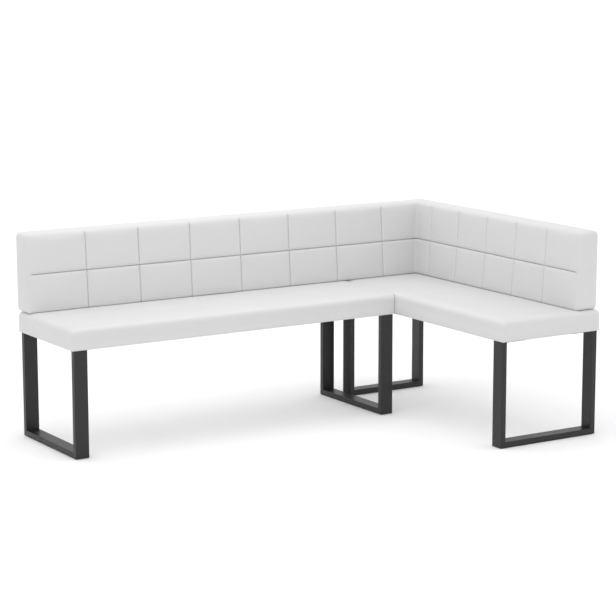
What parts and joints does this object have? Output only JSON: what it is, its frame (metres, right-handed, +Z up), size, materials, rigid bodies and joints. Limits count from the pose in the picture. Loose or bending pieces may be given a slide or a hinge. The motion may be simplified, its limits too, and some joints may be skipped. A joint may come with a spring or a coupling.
{
  "type": "upholstered corner bench",
  "caption": "L-shaped upholstered corner bench: long and short seat with panelled leaning backrests, on open black steel sled legs.",
  "frame": {"origin": "on the floor, under the middle of the whole part's outline box", "axes": "+X along the long bench towards the corner, +Y from the front of the long seat to its backrest, +Z up"},
  "size_m": [1.8214, 1.1396, 0.761],
  "materials": {
    "leatherette": "smooth white coated leather cloth, satin, with fine grain",
    "lining": "black non-woven dust cloth",
    "foam": "polyurethane upholstery foam, hidden",
    "board": "raw plywood, hidden",
    "rail_wood": "planed softwood, hidden",
    "black_steel": "black powder coat, satin",
    "zinc_steel": "bright zinc plated steel",
    "glide": "black polyethylene strip"
  },
  "bodies": {
    "root": {"corner_sled_front_post": "black_steel", "corner_sled_glide": "glide", "corner_sled_plates": "black_steel", "corner_sled_rear_post": "black_steel", "corner_sled_runner": "black_steel", "corner_sled_screws": "zinc_steel", "joining_plates": "zinc_steel", "joining_screws": "zinc_steel", "left_sled_front_post": "black_steel", "left_sled_glide": "glide", "left_sled_plates": "black_steel", "left_sled_rear_post": "black_steel", "left_sled_runner": "black_steel", "left_sled_screws": "zinc_steel", "long_back_board": "board", "long_back_bolts": "zinc_steel", "long_back_cover": "leatherette", "long_back_foam": "foam", "long_back_inserts": "zinc_steel", "long_back_rail": "rail_wood", "long_back_washers": "zinc_steel", "long_seat_board": "board", "long_seat_cover": "leatherette", "long_seat_foam": "foam", "long_seat_lining": "lining", "middle_sled_front_post": "black_steel", "middle_sled_glide": "glide", "middle_sled_plates": "black_steel", "middle_sled_rear_post": "black_steel", "middle_sled_runner": "black_steel", "middle_sled_screws": "zinc_steel", "right_sled_front_post": "black_steel", "right_sled_glide": "glide", "right_sled_plates": "black_steel", "right_sled_rear_post": "black_steel", "right_sled_runner": "black_steel", "right_sled_screws": "zinc_steel", "short_back_board": "board", "short_back_bolts": "zinc_steel", "short_back_cover": "leatherette", "short_back_foam": "foam", "short_back_inserts": "zinc_steel", "short_back_rail": "rail_wood", "short_back_washers": "zinc_steel", "short_seat_board": "board", "short_seat_cover": "leatherette", "short_seat_foam": "foam", "short_seat_lining": "lining"}
  },
  "joints": []
}
